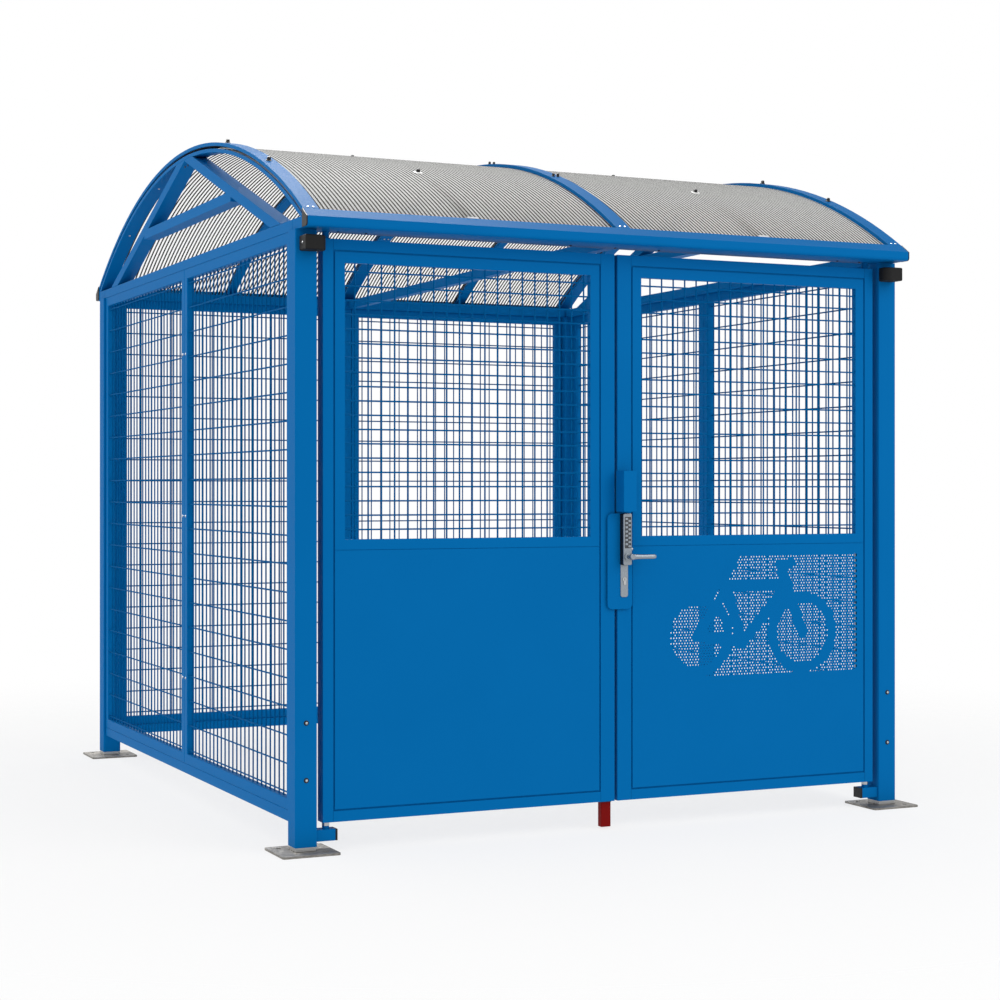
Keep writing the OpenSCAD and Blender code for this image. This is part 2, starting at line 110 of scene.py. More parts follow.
def boxShape(low, high):
    # the eight corners low + bits * (high - low) and their six outward quads
    bits = np.array([[i & 1, i >> 1 & 1, i >> 2 & 1] for i in range(8)])
    points = np.asarray(low, float) + bits * (np.asarray(high, float) - np.asarray(low, float))
    quads = np.array([[0, 2, 3, 1], [4, 5, 7, 6], [0, 1, 5, 4], [2, 6, 7, 3], [0, 4, 6, 2], [1, 3, 7, 5]])
    return points, [quads]


def slabShape(outline, start, along):
    # an outline (n x 3, seen counter-clockwise against the direction of along) carried by a vector
    count = len(outline)
    points = np.vstack([outline, outline + along]) + start
    ids = np.arange(count)
    nextIds = np.roll(ids, -1)
    sides = np.stack([ids, nextIds, nextIds + count, ids + count], -1)
    return points, [ids[None, ::-1], ids[None] + count, sides]


def roundedOutline(width, height, radius, corner=6):
    # four quarter circles of the radius, centred in the corners of a width x height rectangle
    angle = np.linspace(0, np.pi / 2, corner)[None] + (np.arange(4) * np.pi / 2)[:, None]
    cx = (np.array([1, -1, -1, 1]) * (width / 2 - radius))[:, None]
    cz = (np.array([1, 1, -1, -1]) * (height / 2 - radius))[:, None]
    return np.stack([cx + radius * np.cos(angle), cz + radius * np.sin(angle)], -1).reshape(-1, 2)


def facePlate(centre, width, height, depth, radius):
    # a plate with round corners that faces -y: its outline in x and z, carried forward by its depth
    flat = roundedOutline(width * mm, height * mm, radius * mm)
    outline = np.stack([flat[:, 0], flat[:, 0] * 0, flat[:, 1]], -1)
    return slabShape(outline, np.asarray(centre), np.array([0, -depth * mm, 0]))


def boxOf(node):
    # a node's lowest and highest corners as two arrays
    low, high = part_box(node)
    return np.array(low), np.array(high)


# pieces

def buildPiece(name, shape, material, body, replaced=(), smooth=True, bevel=0.0, segments=2):
    points, tables = shape
    mesh = bpy.data.meshes.new(name)
    mesh.from_pydata(points.tolist(), [], [row for table in tables for row in table.tolist()])
    finishPiece(name, mesh, material, body, replaced, smooth, bevel, segments)


def finishPiece(name, mesh, material, body, replaced, smooth, bevel, segments):
    # the mesh gets its finish, shading and rounded edges, then its body, and the nodes it stands for are
    # hidden
    mesh.materials.append(material)
    if smooth:
        mesh.polygons.foreach_set("use_smooth", [True] * len(mesh.polygons))
        mesh.set_sharp_from_angle(angle=math.radians(32))
    mesh.update()
    piece = bpy.data.objects.new(name, mesh)
    bpy.context.scene.collection.objects.link(piece)
    if bevel:
        rounding = piece.modifiers.new("rounding", "BEVEL")
        rounding.width = bevel * mm
        rounding.segments = segments
        rounding.limit_method = "ANGLE"
        rounding.angle_limit = math.radians(40)
        rounding.harden_normals = True
    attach(piece, body)
    if replaced:
        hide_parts(*replaced)


def softenNode(node, bevel, material, segments=2):
    # the CAD surface with its triangles merged to flat faces and its edges rounded as a tube's are
    work = bmesh.new()
    work.from_mesh(frame["nodes"][node].data)
    bmesh.ops.remove_doubles(work, verts=work.verts, dist=1e-6)
    bmesh.ops.dissolve_limit(work, angle_limit=math.radians(0.3), verts=work.verts, edges=work.edges)
    work.verts.index_update()
    points = [tuple(v.co) for v in work.verts]
    faces = [[v.index for v in face.verts] for face in work.faces]
    work.free()
    mesh = bpy.data.meshes.new(node + "_rounded")
    mesh.from_pydata(points, [], faces)
    body = next(name for name, nodes in frame["record"]["behaviour"]["bodies"].items() if node in nodes)
    finishPiece(node + "_rounded", mesh, material, body, (node,), True, bevel, segments)


# materials

patternSize = {  # mm; peel and moulded grain are coarser than the real 1.5 mm and 0.5 mm, so that they show
    "shadeDrift": 350, "peel": 4, "spangle": 9, "zincCloud": 50, "latheRing": 2, "castGrain": 0.8,
    "castGrainLong": 12, "dieLine": 16, "ribCloud": 120, "nylonGrain": 2.5, "rubberGrain": 4,
}


def hexToLinear(code):
    raw = np.array([int(code[i:i + 2], 16) for i in (1, 3, 5)]) / 255
    linear = np.where(raw <= 0.04045, raw / 12.92, ((raw + 0.055) / 1.055) ** 2.4)
    return (*linear.tolist(), 1.0)


def addNode(tree, kind, values=None, links=None, **settings):
    node = tree.nodes.new("ShaderNode" + kind)
    for key, value in settings.items():
        setattr(node, key, value)
    for key, value in (values or {}).items():
        node.inputs[key].default_value = value
    for key, source in (links or {}).items():
        tree.links.new(source, node.inputs[key])
    return node


def perMetre(name):
    # how often a pattern repeats in a metre
    return 1 / (patternSize[name] * mm)


def startMaterial(name):
    material = bpy.data.materials.new(name)
    material.use_nodes = True
    tree = material.node_tree
    tree.nodes.clear()
    place = addNode(tree, "TexCoord").outputs["Object"]
    return material, tree, place


def endMaterial(tree, shader):
    addNode(tree, "OutputMaterial", links={"Surface": shader.outputs[0]})


def blend(tree, factor, low, high):
    # a colour ramp from one hex colour to another
    ramp = addNode(tree, "ValToRGB", links={"Fac": factor})
    ramp.color_ramp.elements[0].color = hexToLinear(low)
    ramp.color_ramp.elements[1].color = hexToLinear(high)
    return ramp


def powderCoat(name, low, high, roughness, shine):
    # polyester powder baked on steel: an even satin colour with the fine waves of orange peel
    material, tree, place = startMaterial(name)
    patch = addNode(tree, "TexNoise", {"Scale": perMetre("shadeDrift"), "Detail": 3.0}, {"Vector": place})
    colour = blend(tree, patch.outputs["Fac"], low, high)
    peel = addNode(tree, "TexNoise", {"Scale": perMetre("peel"), "Detail": 2.0}, {"Vector": place})
    gloss = addNode(tree, "MapRange", {"From Min": 0.3, "From Max": 0.7, "To Min": roughness - 0.04,
                                       "To Max": roughness + 0.06}, {"Value": peel.outputs["Fac"]})
    bump = addNode(tree, "Bump", {"Strength": 0.25, "Distance": 0.06 * mm}, {"Height": peel.outputs["Fac"]})
    endMaterial(tree, addNode(
        tree, "BsdfPrincipled", {"Metallic": 0.0, "IOR": 1.5, "Specular IOR Level": shine},
        {"Base Color": colour.outputs["Color"], "Roughness": gloss.outputs["Result"],
         "Normal": bump.outputs["Normal"]}))
    return material


def hotDipZinc():
    # steel dipped in zinc: metal with leaf-like spangles 6 to 15 mm across, duller than polished steel
    material, tree, place = startMaterial("hot_dip_zinc")
    spangle = addNode(tree, "TexVoronoi", {"Scale": perMetre("spangle")}, {"Vector": place})
    cloud = addNode(tree, "TexNoise", {"Scale": perMetre("zincCloud"), "Detail": 5.0, "Roughness": 0.65},
                    {"Vector": place})
    tone = addNode(tree, "Math", {1: 0.45}, {0: spangle.outputs["Color"]}, operation="MULTIPLY")
    both = addNode(tree, "Math", links={0: tone.outputs[0], 1: cloud.outputs["Fac"]}, operation="ADD")
    colour = blend(tree, both.outputs[0], "#5c5955", "#918e89")
    colour.color_ramp.elements[0].position = 0.35
    colour.color_ramp.elements[1].position = 0.95
    gloss = addNode(tree, "MapRange", {"To Min": 0.38, "To Max": 0.62}, {"Value": both.outputs[0]})
    bump = addNode(tree, "Bump", {"Strength": 0.3, "Distance": 0.15 * mm}, {"Height": cloud.outputs["Fac"]})
    endMaterial(tree, addNode(
        tree, "BsdfPrincipled", {"Metallic": 0.85},
        {"Base Color": colour.outputs["Color"], "Roughness": gloss.outputs["Result"],
         "Normal": bump.outputs["Normal"]}))
    return material


def brightSteel():
    # zinc-plated turned steel: screws, pivot pins and collars, with fine rings from the lathe
    material, tree, place = startMaterial("bright_zinc_plating")
    rings = addNode(tree, "TexWave", {"Scale": perMetre("latheRing"), "Distortion": 0.6}, {"Vector": place},
                    bands_direction="Z")
    colour = blend(tree, rings.outputs["Fac"], "#a4a6a8", "#c2c3c4")
    bump = addNode(tree, "Bump", {"Strength": 0.15, "Distance": 0.05 * mm}, {"Height": rings.outputs["Fac"]})
    endMaterial(tree, addNode(tree, "BsdfPrincipled", {"Metallic": 1.0, "Roughness": 0.3}, {
        "Base Color": colour.outputs["Color"], "Normal": bump.outputs["Normal"]}))
    return material


def satinAluminium():
    # die-cast and satin-anodised: soft grey metal with a fine upright grain
    material, tree, place = startMaterial("satin_anodised_casting")
    across, upright = perMetre("castGrain"), perMetre("castGrainLong")
    stretch = addNode(tree, "Mapping", {"Scale": (across, across, upright)}, {"Vector": place})
    grain = addNode(tree, "TexNoise", {"Scale": 1.0, "Detail": 2.0}, {"Vector": stretch.outputs["Vector"]})
    colour = blend(tree, grain.outputs["Fac"], "#7d858d", "#9ba2a9")
    gloss = addNode(tree, "MapRange", {"To Min": 0.3, "To Max": 0.46}, {"Value": grain.outputs["Fac"]})
    endMaterial(tree, addNode(tree, "BsdfPrincipled", {"Metallic": 0.9}, {
        "Base Color": colour.outputs["Color"], "Roughness": gloss.outputs["Result"]}))
    return material


def mouldedPlastic(name, low, high, roughness, grainName):
    # nylon or rubber from a spark-eroded mould: an even colour with a fine matt grain
    material, tree, place = startMaterial(name)
    grain = addNode(tree, "TexNoise", {"Scale": perMetre(grainName), "Detail": 3.0}, {"Vector": place})
    colour = blend(tree, grain.outputs["Fac"], low, high)
    bump = addNode(tree, "Bump", {"Strength": 0.35, "Distance": 0.1 * mm}, {"Height": grain.outputs["Fac"]})
    endMaterial(tree, addNode(
        tree, "BsdfPrincipled", {"Metallic": 0.0, "Roughness": roughness, "Specular IOR Level": 0.25},
        {"Base Color": colour.outputs["Color"], "Normal": bump.outputs["Normal"]}))
    return material


def roofSkin():
    # extruded clear polycarbonate: clear when looked through squarely, pale with trapped light at a low angle
    material, tree, place = startMaterial("clear_polycarbonate")
    lines = addNode(tree, "TexWave", {"Scale": perMetre("dieLine"), "Distortion": 0.4}, {"Vector": place},
                    bands_direction="X")  # faint lines from the die
    colour = blend(tree, lines.outputs["Fac"], "#d8d9d7", "#e4e4e2")
    low = addNode(tree, "LayerWeight", {"Blend": 0.5})
    veil = addNode(tree, "MapRange", {"From Min": 0.5, "From Max": 0.84, "To Max": 0.9},
                   {"Value": low.outputs["Facing"]}, interpolation_type="SMOOTHSTEP")
    # the pale veil is painted light caught at a low angle; it lies on the weather side only, so from below
    # the sheet stays clear
    facet = addNode(tree, "SeparateXYZ", links={0: addNode(tree, "NewGeometry").outputs["True Normal"]})
    above = addNode(tree, "Math", {1: 0.0}, {0: facet.outputs["Z"]}, operation="GREATER_THAN")
    alpha = addNode(tree, "Math", {2: 0.02}, {0: veil.outputs["Result"], 1: above.outputs[0]},
                    operation="MULTIPLY_ADD")
    endMaterial(tree, addNode(tree, "BsdfPrincipled", {
        "Metallic": 0.0, "IOR": 1.585, "Roughness": 0.35, "Specular IOR Level": 0.003}, {
        "Base Color": colour.outputs["Color"], "Alpha": alpha.outputs[0]}))
    return material


def roofRib(name, low, high):
    # the sheet's inner walls and backed parts: hardly any light comes through, so they read as dark stripes
    material, tree, place = startMaterial(name)
    cloud = addNode(tree, "TexNoise", {"Scale": perMetre("ribCloud"), "Detail": 2.0}, {"Vector": place})
    colour = blend(tree, cloud.outputs["Fac"], low, high)
    endMaterial(tree, addNode(tree, "BsdfPrincipled", {
        "Metallic": 0.0, "IOR": 1.585, "Specular IOR Level": 0.003, "Roughness": 0.5}, {
        "Base Color": colour.outputs["Color"]}))
    return material


bluePaint = powderCoat("blue_powder_coat", "#0064a5", "#0268aa", 0.46, 0.02)
# painted shade: the wires carry the frame's blue powder coat made darker, for the shade on thin round wires
wireShadedPaint = powderCoat("blue_powder_darkened_for_wire_shade", "#00528a", "#005891", 0.55, 0.01)
# painted shade: the seams carry the same blue powder coat made darker, for the shade in the joint lines
seamShadedPaint = powderCoat("blue_powder_darkened_for_seam_shade", "#004a80", "#00528c", 0.5, 0.02)
redPaint = powderCoat("red_powder_coat", "#700d0c", "#7c1110", 0.4, 0.04)
zinc = hotDipZinc()
bright = brightSteel()
aluminium = satinAluminium()
blackNylon = mouldedPlastic("moulded_nylon", "#0d0d0e", "#19191a", 0.45, "nylonGrain")
whiteNylon = mouldedPlastic("moulded_white", "#dcdcda", "#ececea", 0.5, "nylonGrain")
keypadGrey = mouldedPlastic("moulded_keypad", "#3c3d40", "#4c4d51", 0.5, "nylonGrain")
blackRubber = mouldedPlastic("moulded_rubber", "#0b0b0b", "#161616", 0.7, "rubberGrain")
skinClear = roofSkin()
ribGrey = roofRib("polycarbonate_ribs", "#373532", "#45433f")
bandGrey = roofRib("polycarbonate_over_arch", "#787874", "#84847f")
print("materials made")


# frame tubes: the CAD shapes with rolled edges, each with its edge radius in mm

roundedNodes = {
    "side_beam_left": 3, "side_beam_right": 3, "eave_beam_front": 2, "eave_beam_back": 2,
    "bottom_rails": 3, "wall_frames_left": 2.5, "wall_frames_right": 2.5, "wall_frames_back": 2.5,
    "arch_left": 2, "arch_bay_left": 2, "arch_middle": 2, "arch_bay_right": 2, "arch_right": 2,
    "arch_cover_strips": 1.5, "truss_left": 3, "truss_right": 3, "tie_middle": 3,
    "door_left_frame": 2.5, "door_right_frame": 2.5, "pull_handle": 2, "door_pivots": 2,
}
for node, bevel in roundedNodes.items():
    softenNode(node, bevel, bluePaint)
for corner in ("front_left", "front_right", "back_left", "back_right"):
    softenNode("base_plate_" + corner, 1.5, zinc)
softenNode("end_caps", 1.2, blackNylon)
softenNode("door_stops", 5, blackRubber, 3)
softenNode("drop_bolt", 2.5, redPaint)
for node, thing in frame["nodes"].items():
    if node.startswith("post_"):
        thing.data.materials.clear()
        thing.data.materials.append(bluePaint)
print("tubes rounded")


# wires, all sizes in mm

wallWires = {"pitch": 50, "step": 100, "diameter": 6, "sides": 8, "grip": 4}
doorWires = {"pitch": 50, "up": 34, "firstLeft": 41, "firstRight": 44, "diameter": 6, "sides": 10, "grip": 3}
weldSink = 0.92  # crossing wires stand this share of their thickness apart, so they sink together


def wireRun(low, high, pitch, first=None):
    # wire places along one direction, the first a given distance in or the whole run centred
    room = (high - low) / mm
    if first is None:
        first = (room - math.floor((room - pitch / 4) / pitch) * pitch) / 2
    count = int((room - first - 4) // pitch) + 1
    return low + (first + np.arange(count) * pitch) * mm


def rodSet(places, direction, length, diameter, sides):
    # one straight round rod from each place, all the same way
    rod = turnedShape([(diameter / 2, 0), (diameter / 2, length / mm)], (0, 0, 0), direction, sides)
    return repeatShape(rod, places)


def wireGrid(low, high, across, uprights, levels, wires, outward):
    # uprights stand in one plane and levels lie just outside them, as in a resistance-welded mesh
    other = 1 - across
    middle = (low[other] + high[other]) / 2
    size, sides, grip = wires["diameter"], wires["sides"], wires["grip"]
    upPlaces = np.zeros((len(uprights), 3))
    upPlaces[:, across] = uprights
    upPlaces[:, other] = middle
    upPlaces[:, 2] = low[2] - grip * mm
    levelPlaces = np.zeros((len(levels), 3))
    levelPlaces[:, across] = low[across] - grip * mm
    levelPlaces[:, other] = middle + outward * size * weldSink * mm
    levelPlaces[:, 2] = levels
    upLength = high[2] - low[2] + 2 * grip * mm
    levelLength = high[across] - low[across] + 2 * grip * mm
    return joinShapes(rodSet(upPlaces, (0, 0, 1), upLength, size, sides),
                      rodSet(levelPlaces, np.eye(3)[across], levelLength, size, sides))


for node in [n for n in frame["nodes"] if n.startswith("wall_mesh")]:
    low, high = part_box(node)
    across = 0 if "_back_" in node else 1
    outward = 1 if "_back_" in node or "_right_" in node else -1
    uprights = wireRun(low[across], high[across], wallWires["pitch"])
    levels = wireRun(low[2], high[2], wallWires["step"])
    shape = wireGrid(low, high, across, uprights, levels, wallWires, outward)
    buildPiece(node.replace("mesh", "wires"), shape, wireShadedPaint, "shelter", (node,))

for side in ("left", "right"):
    node = "door_%s_mesh" % side
    low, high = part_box(node)
    uprights = wireRun(low[0], high[0], doorWires["pitch"], doorWires["first" + side.capitalize()])
    levels = wireRun(low[2], high[2], doorWires["pitch"], doorWires["up"])
    shape = wireGrid(low, high, 0, uprights, levels, doorWires, -1)
    buildPiece("door_%s_wires" % side, shape, wireShadedPaint, side + "_leaf", (node,))
print("wires made")


# roof sheets, which lie on the arches and under the cover strips

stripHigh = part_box("arch_cover_strips")[1]
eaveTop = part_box("eave_beam_front")[1].z
rise = stripHigh.z - eaveTop
roofRadius = (stripHigh.y ** 2 + rise ** 2) / (2 * rise)
roofCentre = stripHigh.z - roofRadius
roofSheet = {"pitch": 16, "thick": 9.6, "under": 14.2, "skin": 0.8, "rib": 6.5, "ribHigh": 1.2,
             "ribProud": 0.1, "edgeIn": 4, "edgeOut": 2, "steps": 66}


def vaultPoint(x, angle, radius):
    # a point of the vault: y = radius * sin(angle), z = centre + radius * cos(angle)
    return x, radius * np.sin(angle), roofCentre + radius * np.cos(angle)


def vaultBar(xLow, xHigh, radiusLow, radiusHigh, angles):
    # a thin bar that follows the vault: its four-cornered section carried along the arc, ends closed
    cornerX = np.array([xLow, xHigh, xHigh, xLow])
    cornerR = np.array([radiusLow, radiusLow, radiusHigh, radiusHigh])
    points, tables = gridShape(lambda u, v: vaultPoint(cornerX[u.astype(int)], v, cornerR[u.astype(int)]),
                               np.arange(4), angles, True)
    count = len(angles)
    ends = np.array([[0, count, 2 * count, 3 * count]])
    return points, [tables[0], ends, ends[:, ::-1] + count - 1]


for side in ("left", "right"):
    low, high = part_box("roof_sheet_" + side)
    skin = roofSheet["skin"] * mm
    outer = roofRadius - roofSheet["under"] * mm
    inner = outer - roofSheet["thick"] * mm
    reach = math.asin(min(high.y, stripHigh.y) / outer)
    angles = np.linspace(-reach, reach, roofSheet["steps"])
    skins = joinShapes(vaultBar(low.x, high.x, outer - skin, outer, angles),
                       vaultBar(low.x, high.x, inner, inner + skin, angles))
    buildPiece("roof_skins_" + side, skins, skinClear, "shelter", ("roof_sheet_" + side,))
    ribX = np.arange(low.x + roofSheet["edgeIn"] * mm, high.x - roofSheet["edgeOut"] * mm,
                     roofSheet["pitch"] * mm)
    halfRib = roofSheet["rib"] / 2 * mm
    ribLow = outer - roofSheet["ribHigh"] * mm
    rib = vaultBar(-halfRib, halfRib, ribLow, outer + roofSheet["ribProud"] * mm, angles)
    ribs = repeatShape(rib, np.stack([ribX, ribX * 0, ribX * 0], -1))
    buildPiece("roof_ribs_" + side, ribs, ribGrey, "shelter")
    # no light comes through where the sheet lies on its bay arch
    bandLow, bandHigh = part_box("arch_bay_" + side)
    band = vaultBar(bandLow.x, bandHigh.x, ribLow, outer - skin, angles)
    buildPiece("roof_band_" + side, band, bandGrey, "shelter")
print("roof sheets made")


# door infills, the right one with the punched cycle sign; all sizes in mm

infill = {"sheet": 2, "groove": 6, "shelf": 6, "bar": 37, "seam": 2, "seamHeight": 1046}
punched = {"left": 229, "bottom": 546, "pitch": 12, "row": 10.4, "columns": 70, "rows": 44, "radius": 2.9}
signBars = {  # half width, then the two ends, from the shelter's middle and the ground
    "chainStay": (19, 349, 703, 548, 672), "seatStay": (17, 349, 703, 474, 872),
    "seatTube": (19, 548, 672, 455, 948), "topTube": (19, 474, 892, 742, 892),
    "downTube": (19, 548, 672, 742, 872), "fork": (19, 821, 703, 722, 962),
    "stem": (15, 722, 962, 770, 972), "saddle": (15, 412, 966, 508, 966),
}
signWheels = {"rear": (349, 703), "front": (821, 703), "outer": 156, "inner": 118}
signSlope = {"heights": (545, 860, 900, 1004), "from": (360, 430, 470, 540)}  # the field's left edge


def barDistance(x, z, x0, z0, x1, z1):
    # distance to a straight bar: from the point to its nearest place on the bar's middle line
    dx, dz = x1 - x0, z1 - z0
    share = np.clip(((x - x0) * dx + (z - z0) * dz) / (dx * dx + dz * dz), 0, 1)
    return np.hypot(x - x0 - share * dx, z - z0 - share * dz)


def holeWanted(x, z):
    # punched right of the field's slanting edge and inside both wheels, but not on the drawing's lines
    wanted = x > np.interp(z, signSlope["heights"], signSlope["from"])
    for wheel in ("rear", "front"):
        gap = np.hypot(x - signWheels[wheel][0], z - signWheels[wheel][1])
        wanted |= gap < signWheels["inner"]
        wanted &= ~((gap >= signWheels["inner"]) & (gap <= signWheels["outer"]))
    rearGap = np.hypot(x - signWheels["rear"][0], z - signWheels["rear"][1])
    wanted &= (rearGap < signWheels["inner"]) | (x > signWheels["rear"][0])
    for half, *ends in signBars.values():
        wanted &= barDistance(x, z, *ends) > half + punched["radius"]
    return wanted


def punchedPlate(front):
    # rows of cells, every other row half a cell over; a cell is plain or has an eight-sided hole
    pitch, row, r = punched["pitch"], punched["row"], punched["radius"]
    columns, rows = np.meshgrid(np.arange(punched["columns"]), np.arange(punched["rows"]))
    x = punched["left"] + (columns + 0.5 + 0.5 * (rows % 2)) * pitch
    z = punched["bottom"] + (rows + 0.5) * row
    whole = x < punched["left"] + punched["columns"] * pitch - 1
    holed = holeWanted(x, z) & whole
    a, b = pitch / 2, row / 2
    edge = np.array([[-a, -b], [0, -b], [a, -b], [a, b], [0, b], [-a, b]])
    turn = np.radians(22.5 + 45 * np.arange(8))
    flat = np.vstack([edge, np.stack([np.cos(turn), np.sin(turn)], -1) * r])

    def bothSides(points):
        near = np.insert(points, 1, 0.0, 1)
        far = np.insert(points, 1, infill["sheet"], 1)
        return np.vstack([near, far]) * mm

    def place(xPlaces, zPlaces):
        return np.stack([xPlaces * mm, np.full(len(xPlaces), front), zPlaces * mm], -1)

    triangles = np.array([[0, 1, 11], [1, 12, 11], [1, 2, 12], [2, 13, 12], [3, 7, 6], [3, 4, 7], [4, 8, 7],
                          [4, 5, 8], [5, 9, 8], [0, 11, 10]])
    quads = np.array([[2, 3, 6, 13], [5, 0, 10, 9]])
    k = np.arange(8)
    wall = np.stack([6 + k, 6 + (k + 1) % 8, 20 + (k + 1) % 8, 20 + k], -1)
    cell = (bothSides(flat), [triangles, triangles[:, ::-1] + 14, quads, quads[:, ::-1] + 14, wall])
    plain = (bothSides(edge), [np.arange(6)[None], np.arange(6)[None, ::-1] + 6])
    half = np.array([[-a, -b], [0, -b], [0, b], [-a, b]])
    halfCell = (bothSides(half), [np.arange(4)[None], np.arange(4)[None, ::-1] + 4])
    odd = np.arange(1, punched["rows"], 2)
    oddZ = punched["bottom"] + (odd + 0.5) * row
    lefts = place(np.full(len(odd), punched["left"] + a), oddZ)
    rights = lefts + [punched["columns"] * pitch * mm, 0, 0]
    return joinShapes(repeatShape(cell, place(x[holed], z[holed])),
                      repeatShape(plain, place(x[whole & ~holed], z[whole & ~holed])),
                      repeatShape(halfCell, lefts), repeatShape(halfCell, rights))


def infillShape(node, windowNode, withSign):
    # folded sheet: a window frame over a plain sheet, returns at the edges and a shelf behind the groove
    low, high = boxOf(node)
    windowLow, windowHigh = boxOf(windowNode)
    groove, sheet = infill["groove"] * mm, infill["sheet"] * mm
    front, back = low[1], high[1]
    left, right = low[0] + groove, high[0] - groove
    bottom, top = low[2] + groove, high[2] - groove
    seam, halfSeam = infill["seamHeight"] * mm, infill["seam"] / 2 * mm
    railFoot = seam - infill["bar"] * mm
    shelf = front + infill["shelf"] * mm
    shapes = [  # window frame: stiles, head and sill
        boxShape((left, front, seam + halfSeam), (windowLow[0], back, top)),
        boxShape((windowHigh[0], front, seam + halfSeam), (right, back, top)),
        boxShape((windowLow[0], front, windowHigh[2]), (windowHigh[0], back, top)),
        boxShape((windowLow[0], front, seam + halfSeam), (windowHigh[0], back, windowLow[2])),
        # rail behind the seam
        boxShape((left, front + sheet, railFoot), (right, back, seam + halfSeam)),
        # returns of the lower sheet
        boxShape((left, front + sheet, bottom), (left + sheet, back, railFoot)),
        boxShape((right - sheet, front + sheet, bottom), (right, back, railFoot)),
        boxShape((left + sheet, front + sheet, bottom), (right - sheet, back, bottom + sheet)),
        # shelf behind the groove
        boxShape((low[0], shelf, low[2]), (left, back, high[2])),
        boxShape((right, shelf, low[2]), (high[0], back, high[2])),
        boxShape((left, shelf, top), (right, back, high[2])),
        boxShape((left, shelf, low[2]), (right, back, bottom)),
    ]
    sheetTop = seam - halfSeam
    if not withSign:
        return joinShapes(*shapes, boxShape((left, front, bottom), (right, front + sheet, sheetTop)))
    x0, z0 = punched["left"] * mm, punched["bottom"] * mm
    x1 = x0 + punched["columns"] * punched["pitch"] * mm
    z1 = z0 + punched["rows"] * punched["row"] * mm
    return joinShapes(*shapes,
                      boxShape((left, front, bottom), (right, front + sheet, z0)),
                      boxShape((left, front, z1), (right, front + sheet, sheetTop)),
                      boxShape((left, front, z0), (x0, front + sheet, z1)),
                      boxShape((x1, front, z0), (right, front + sheet, z1)),
                      punchedPlate(front))


for side in ("left", "right"):
    node = "door_%s_infill" % side
    shape = infillShape(node, "door_%s_mesh" % side, side == "right")
    buildPiece("door_%s_sheet" % side, shape, bluePaint, side + "_leaf", (node,), smooth=False)
print("door sheets made")


# cover plate and lock, all sizes in mm

cover = {"corner": 20, "thick": 5, "lead": 5}
lock = {"bodyHeight": 191, "corner": 6, "shellIn": 5, "shellOut": 1, "plateThick": 4, "plateCorner": 9,
        "plateOverlap": 8, "plateIn": 4}
keypad = {"rows": 7, "wide": 11, "high": 8, "rise": 2.2, "rowStep": 15.6, "columnStep": 12.5, "topIn": 20,
          "wellWide": 27, "wellHigh": 116, "wellDeep": 0.8}
cylinder = {"height": 66, "profile": [(8.5, 0), (8.5, 2.4), (7.9, 3)], "tailWide": 10, "tailHigh": 17,
            "tailDown": 12, "tailDeep": 2.6}
knob = {"height": 1036, "profile": [(6, 0), (6, 9), (5, 10)]}

coverLow, coverHigh = boxOf("cover_plate")
lockLow, lockHigh = boxOf("code_lock")
coverMiddle = (coverLow + coverHigh) / 2
coverSize = (coverHigh - coverLow) / mm
coverBack = coverLow[1] + cover["thick"] * mm
coverFace = facePlate((coverMiddle[0], coverBack, coverMiddle[2]), coverSize[0], coverSize[2], cover["thick"],
                      cover["corner"])
coverBlock = boxShape((lockLow[0], coverBack, coverLow[2] + cover["lead"] * mm),
                      (coverHigh[0] - cover["lead"] * mm, coverHigh[1], coverHigh[2] - cover["lead"] * mm))
buildPiece("cover_plate_round", joinShapes(coverFace, coverBlock), bluePaint, "right_leaf",
           ("cover_plate",), bevel=1.2)

lockX = (lockLow[0] + lockHigh[0]) / 2
lockWide = (lockHigh[0] - lockLow[0]) / mm
lockBack = lockHigh[1]
lockDeep = (lockHigh[1] - lockLow[1]) / mm
bodyLow = lockHigh[2] - lock["bodyHeight"] * mm
bodyMiddle = (lockX, lockBack, (bodyLow + lockHigh[2]) / 2)
body = facePlate(bodyMiddle, lockWide, lock["bodyHeight"], lockDeep, lock["corner"])
lowerHigh = (bodyLow - lockLow[2]) / mm + lock["plateOverlap"]
lower = facePlate((lockX - 1 * mm, lockBack, lockLow[2] + lowerHigh / 2 * mm), lockWide - lock["plateIn"],
                  lowerHigh, lock["plateThick"], lock["plateCorner"])
buildPiece("lock_body", joinShapes(body, lower), aluminium, "right_leaf", ("code_lock",),
           bevel=2.0, segments=3)
shell = facePlate(bodyMiddle, lockWide + lock["shellOut"], lock["bodyHeight"] + lock["shellOut"],
                  lockDeep - lock["shellIn"], lock["corner"])
buildPiece("lock_shell", shell, blackNylon, "right_leaf", bevel=1.0)

# two columns of buttons, the right one half a step lower
keypadX = lockX + 1 * mm
button = facePlate((0, 0, 0), keypad["wide"], keypad["high"], keypad["rise"], 2)
rowsUp = lockHigh[2] - keypad["topIn"] * mm - np.arange(keypad["rows"]) * keypad["rowStep"] * mm
buttonX = keypadX + np.array([-0.5, 0.5]) * keypad["columnStep"] * mm
stagger = np.tile([0, keypad["rowStep"] / 2 * mm], len(rowsUp))
places = np.stack([np.tile(buttonX, len(rowsUp)), np.full(2 * len(rowsUp), lockLow[1] + 0.3 * mm),
                   np.repeat(rowsUp, 2) - stagger], -1)
buildPiece("lock_buttons", repeatShape(button, places), aluminium, "right_leaf", bevel=0.6)
wellPlace = (keypadX, lockLow[1] + 0.5 * mm, rowsUp.mean() - keypad["rowStep"] / 4 * mm)
well = facePlate(wellPlace, keypad["wellWide"], keypad["wellHigh"], keypad["wellDeep"], 3)
buildPiece("lock_keypad", well, keypadGrey, "right_leaf", bevel=0.3)

